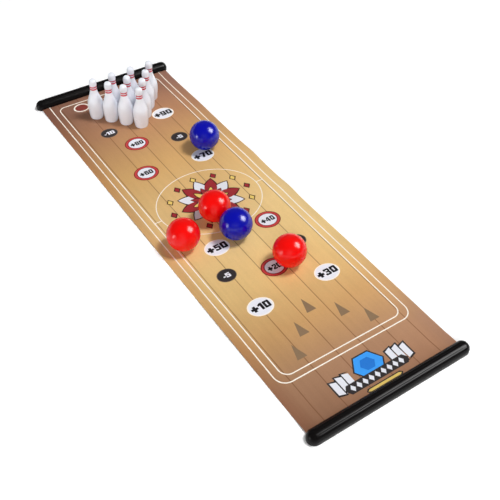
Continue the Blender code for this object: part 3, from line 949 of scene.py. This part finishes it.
def makePins():
    low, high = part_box("pin_1_body")
    radius, height = (high.x - low.x) / 2, high.z - low.z
    neck, crownReach = pin["outline"][-1]
    parts, clear = pin["ringSteps"], pin["ringClear"]
    marks = [start + (end - start) * i / parts for start, end in pin["rings"] for i in range(parts + 1)]
    shares = [i / pin["rows"] for i in range(pin["rows"]) if i / pin["rows"] < neck]
    shares = [share for share in shares if all(abs(share - mark) > clear for mark in marks)] + marks
    outside = [(pinShare(share), share) for share in sorted(shares)]
    outside += [(crownReach * math.cos(math.radians(a)), neck + (1 - neck) * math.sin(math.radians(a)))
                for a in range(0, 90, pin["crownStep"])] + [(0.0, 1.0)]
    outside = [(reach * radius, share * height) for reach, share in outside]
    socket = pin["outline"][0][1] * radius - pin["wall"]
    inside = [(socket, 0.0), (socket, pin["socketHeight"])]
    inside += [(pinShare(share) * radius - pin["wall"], share * height) for share in pin["hollow"]]
    inside.append((0.0, pin["hollowTop"] * height))
    body = turnedMesh("pinBody", list(reversed(inside)) + outside, pin["steps"], materials["pinWhite"])
    rings = []
    for first in (0, parts + 1):
        own = marks[first:first + parts + 1]
        outer = [(pinShare(mark) * radius + pin["ringProud"], mark * height) for mark in own]
        inner = [(pinShare(mark) * radius - pin["ringProud"], mark * height) for mark in reversed(own)]
        rings.append(turnedMesh("pinRing", outer + inner + outer[:1], pin["steps"], materials["pinRed"]))
    stripes = joinMeshes("pinStripes", rings)
    for number in range(1, 11):
        low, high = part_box(f"pin_{number}_body")
        place = ((low.x + high.x) / 2, (low.y + high.y) / 2, low.z)
        solid = newPiece(f"pinBody_{number}", movedMesh(body, place), materials["pinWhite"])
        stripe = newPiece(f"pinStripes_{number}", movedMesh(stripes, place), materials["pinRed"])
        for piece in (solid, stripe):
            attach(piece, f"pin_{number}")
        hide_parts(f"pin_{number}_body")


# Balls

ball = {"steps": 96, "rows": 64, "seamWidth": 0.3 * mm, "seamDepth": 0.12 * mm}


def makeBalls():
    low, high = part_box("red_ball_1_upper_shell")
    radius = (high.x - low.x) / 2
    levels = [-90 + 180 * i / ball["rows"] for i in range(ball["rows"] + 1)]
    seam = math.degrees(ball["seamWidth"] / radius)
    levels = sorted([level for level in levels if abs(level) > seam] + [-seam, -seam * 0.4, seam * 0.4, seam])
    outline = []
    for level in levels:
        reach = radius - (ball["seamDepth"] if abs(level) < seam * 0.5 else 0)
        outline.append((reach * math.cos(math.radians(level)) if abs(level) < 89.99 else 0.0,
                        reach * math.sin(math.radians(level))))
    for name in ("red_ball_1", "red_ball_2", "red_ball_3", "blue_ball_1", "blue_ball_2"):
        color = name[:name.index("_")]
        low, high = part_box(f"{name}_upper_shell")
        mesh = turnedMesh(name, outline, ball["steps"], materials[f"{color}Ball"])
        centre = ((low.x + high.x) / 2, (low.y + high.y) / 2, high.z - radius)
        piece = newPiece(f"{color}Ball_{name[-1]}", movedMesh(mesh, centre), materials[f"{color}Ball"])
        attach(piece, name)
        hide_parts(f"{name}_upper_shell", f"{name}_lower_shell")


makeCamera()
groups = {"moulded": mouldedGroup(), "film": filmGroup()}
trees = {"turned": turnedTree(), "stamp": stampTree()}
makeStudio()
print("camera, floor and lamps made")

materials = {
    "matCore": finishWith(newMaterial("matCore"), groups["film"], {
        "Color": tone(222, 219, 214), "Roughness": 0.7, "Speckle": 0.2}, 0.0001),
    "creamInk": ink("creamInk", tone(255, 246, 232)),
    "coolInk": ink("coolInk", tone(236, 237, 245)),
    "blackInk": ink("blackInk", tone(28, 26, 30), 0.2),
    "charcoalInk": ink("charcoalInk", tone(52, 47, 48), 0.2),
    "greyInk": ink("greyInk", tone(118, 98, 82), 0.1),
    "maroonInk": ink("maroonInk", tone(132, 26, 24), 0.1),
    "redInk": ink("redInk", tone(206, 68, 66), 0.1),
    "rustInk": ink("rustInk", tone(140, 62, 54), 0.14),
    "roseInk": ink("roseInk", tone(196, 60, 66), 0.1),
    "crimsonInk": ink("crimsonInk", tone(164, 46, 52), 0.1),
    "brownInk": ink("brownInk", tone(64, 28, 26), 0.15),
    "yellowInk": ink("yellowInk", tone(240, 208, 112), 0.1),
    "taupeInk": ink("taupeInk", tone(142, 116, 88), 0.14),
    "blueInk": ink("blueInk", tone(36, 122, 214), 0.1),
    "skyInk": ink("skyInk", tone(60, 160, 250), 0.1),
    "barBlack": moulded("barPlastic", tone(15, 13, 13), 0.24, peelReach=0.00006, Specular_IOR_Level=0.12),
    "pinWhite": moulded("pinPlastic", tone(244, 247, 255), 0.26, 0.03),
    "pinRed": moulded("pinStripePaint", tone(206, 44, 70), 0.28),
    "plugWhite": moulded("plugPlastic", tone(214, 214, 220), 0.5, peelReach=0.0001),
    "redBall": moulded("redBallPlastic", tone(246, 6, 3), 0.2, 0.02, 0.00002, Specular_IOR_Level=0.33),
    "blueBall": moulded("blueBallPlastic", tone(0, 5, 168), 0.2, 0.05, 0.00002, Specular_IOR_Level=0.46),
    "screwSteel": moulded("screwSteel", tone(190, 190, 194), 0.34, 0.1, 0.0001, Metallic=1.0),
}
materials["wood"] = woodMaterial()
print("materials made")

mat = makeMat()
printed = [makeBorder()] + makeSpots() + [makeArrows()] + makeRosette() + makeCrest()
for piece in [mat] + printed:
    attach(piece, "lane")
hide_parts("play_mat")
print("mat and print made:", len(printed), "printed pieces")

makeBars()
makePins()
makeBalls()
print("bars, pins and balls made")

for name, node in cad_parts.items():
    for ending, material in (("_lower_shell", "barBlack"), ("_base_plug", "plugWhite")):
        if name.endswith(ending) and "ball" not in name:
            for slot in node.material_slots:
                slot.material = materials[material]
    if "_screw_" in name:
        for slot in node.material_slots:
            slot.material = materials["screwSteel"]
